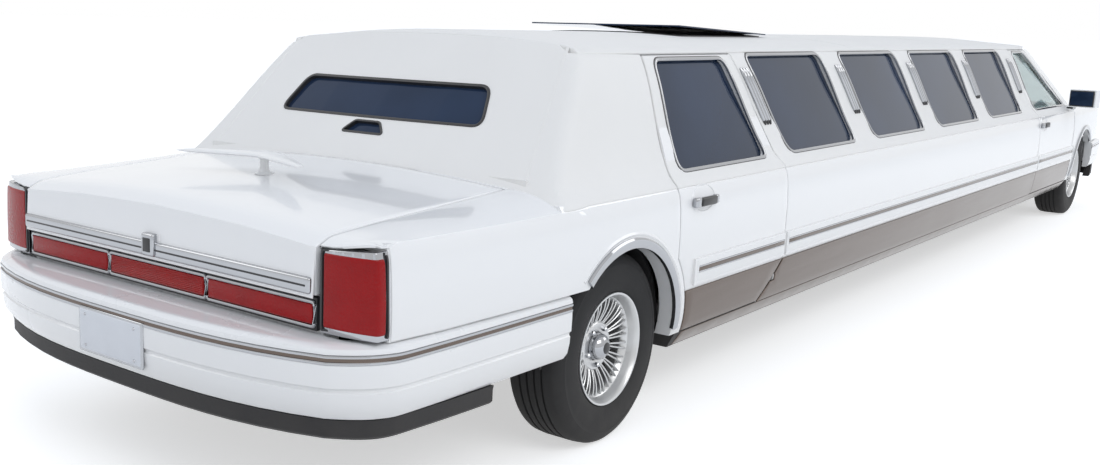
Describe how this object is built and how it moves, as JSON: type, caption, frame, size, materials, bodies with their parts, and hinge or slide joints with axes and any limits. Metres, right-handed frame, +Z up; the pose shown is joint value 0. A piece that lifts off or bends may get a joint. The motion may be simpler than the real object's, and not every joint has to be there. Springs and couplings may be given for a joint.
{
  "type": "stretch limousine",
  "caption": "Stretch limousine: a long white sedan with a padded vinyl top, opening doors, hood and trunk lid, steered front wheels and wheels that roll",
  "frame": {"origin": "on the ground under the middle of the overall box", "axes": "+X forward, +Y to the car's left, +Z up"},
  "size_m": [10.132, 2.2848, 1.4841],
  "materials": {
    "white_paint": "gloss white paint",
    "vinyl_top": "padded off-white vinyl with fine grain",
    "chrome": "bright trim",
    "stainless": "polished stainless rocker cover",
    "dark_glass": "dark tinted glass",
    "clear_glass": "lightly tinted glass",
    "red_lens": "ribbed red lamp lens",
    "lamp_lens": "clear lamp lens",
    "black_metal": "underbody black",
    "engine_metal": null,
    "exhaust_steel": "dull exhaust steel",
    "axle_iron": "dark cast parts",
    "tyre_rubber": "black tyre rubber",
    "alloy": "machined alloy wheel",
    "white_plastic": "white moulded plastic",
    "bumper_white": "painted bumper cover",
    "trim_dark": "dark grained plastic",
    "seat_leather": "grained seat leather",
    "bar_wood": "dark lacquered wood",
    "carpet": "dark carpet over the floor"
  },
  "bodies": {
    "body": {"frame_rails": "black_metal", "floor_pan": "carpet", "wheelhouses": "black_metal", "cowl_and_pillars": "white_paint", "engine_block": "engine_metal", "rear_bulkhead": "black_metal", "exhaust": "exhaust_steel", "fuel_tank": "black_metal", "rear_axle": "axle_iron", "front_suspension": "axle_iron", "rear_quarters": "white_paint", "stretch_sides": "white_paint", "rocker_covers": "stainless", "upper_frames": "vinyl_top", "side_glass": "dark_glass", "pillar_bars": "chrome", "vinyl_roof": "vinyl_top", "back_glass": "dark_glass", "windshield": "clear_glass", "sunroof_glass": "dark_glass", "tail_panel": "white_paint", "tail_lamps": "red_lens", "centre_reflector": "red_lens", "rear_bumper": "bumper_white", "front_bumper": "bumper_white", "front_fenders": "white_paint", "header_panel": "white_paint", "headlamps": "lamp_lens", "grille": "chrome", "dashboard": "trim_dark", "steering_wheel": "trim_dark", "front_seats": "seat_leather", "partition": "trim_dark", "lounge_seats": "seat_leather", "bar_cabinet": "bar_wood"},
    "rear_door_left_body": {"rear_door_left": "white_paint", "rear_door_glass_left": "dark_glass"},
    "front_door_left_body": {"front_door_left": "white_paint", "front_door_glass_left": "clear_glass"},
    "knuckle_left_body": {"knuckle_left": "axle_iron"},
    "front_wheel_left": {"front_tyre_left": "tyre_rubber", "front_rim_left": "alloy"},
    "rear_wheel_left": {"rear_tyre_left": "tyre_rubber", "rear_rim_left": "alloy"},
    "rear_door_right_body": {"rear_door_right": "white_paint", "rear_door_glass_right": "dark_glass"},
    "front_door_right_body": {"front_door_right": "white_paint", "front_door_glass_right": "clear_glass"},
    "knuckle_right_body": {"knuckle_right": "axle_iron"},
    "front_wheel_right": {"front_tyre_right": "tyre_rubber", "front_rim_right": "alloy"},
    "rear_wheel_right": {"rear_tyre_right": "tyre_rubber", "rear_rim_right": "alloy"},
    "hood_body": {"hood": "white_paint"},
    "trunk_lid_body": {"trunk_lid": "white_paint", "tv_antenna": "white_plastic"}
  },
  "joints": [
    {"name": "front_door_left_hinge", "type": "hinge", "parent": "body", "child": "front_door_left_body", "pos_m": [3.396, 0.942, 0.6], "axis": [0, 0, -1], "range_deg": [0, 65]},
    {"name": "rear_door_left_hinge", "type": "hinge", "parent": "body", "child": "rear_door_left_body", "pos_m": [-2.346, 0.942, 0.6], "axis": [0, 0, -1], "range_deg": [0, 65]},
    {"name": "front_door_right_hinge", "type": "hinge", "parent": "body", "child": "front_door_right_body", "pos_m": [3.396, -0.942, 0.6], "axis": [0, 0, 1], "range_deg": [0, 65]},
    {"name": "rear_door_right_hinge", "type": "hinge", "parent": "body", "child": "rear_door_right_body", "pos_m": [-2.346, -0.942, 0.6], "axis": [0, 0, 1], "range_deg": [0, 65]},
    {"name": "hood_hinge", "type": "hinge", "parent": "body", "child": "hood_body", "pos_m": [3.519, 0, 0.93874], "axis": [0, -1, 0], "range_deg": [0, 55]},
    {"name": "trunk_hinge", "type": "hinge", "parent": "body", "child": "trunk_lid_body", "pos_m": [-4.066, 0, 0.92499], "axis": [0, 1, 0], "range_deg": [0, 70]},
    {"name": "steering_left", "type": "hinge", "parent": "body", "child": "knuckle_left_body", "pos_m": [3.956, 0.702, 0.348], "axis": [0, 0, 1], "range_deg": [-33, 33]},
    {"name": "steering_right", "type": "hinge", "parent": "body", "child": "knuckle_right_body", "pos_m": [3.956, -0.702, 0.348], "axis": [0, 0, 1], "range_deg": [-33, 33]},
    {"name": "front_wheel_left_spin", "type": "hinge", "parent": "knuckle_left_body", "child": "front_wheel_left", "pos_m": [3.956, 0.8, 0.348], "axis": [0, 1, 0], "continuous": true},
    {"name": "rear_wheel_left_spin", "type": "hinge", "parent": "body", "child": "rear_wheel_left", "pos_m": [-3.598, 0.8, 0.348], "axis": [0, 1, 0], "continuous": true},
    {"name": "front_wheel_right_spin", "type": "hinge", "parent": "knuckle_right_body", "child": "front_wheel_right", "pos_m": [3.956, -0.8, 0.348], "axis": [0, 1, 0], "continuous": true},
    {"name": "rear_wheel_right_spin", "type": "hinge", "parent": "body", "child": "rear_wheel_right", "pos_m": [-3.598, -0.8, 0.348], "axis": [0, 1, 0], "continuous": true}
  ],
  "couplings": [
    {"joint": "steering_right", "follows": "steering_left", "ratio": 1}
  ]
}
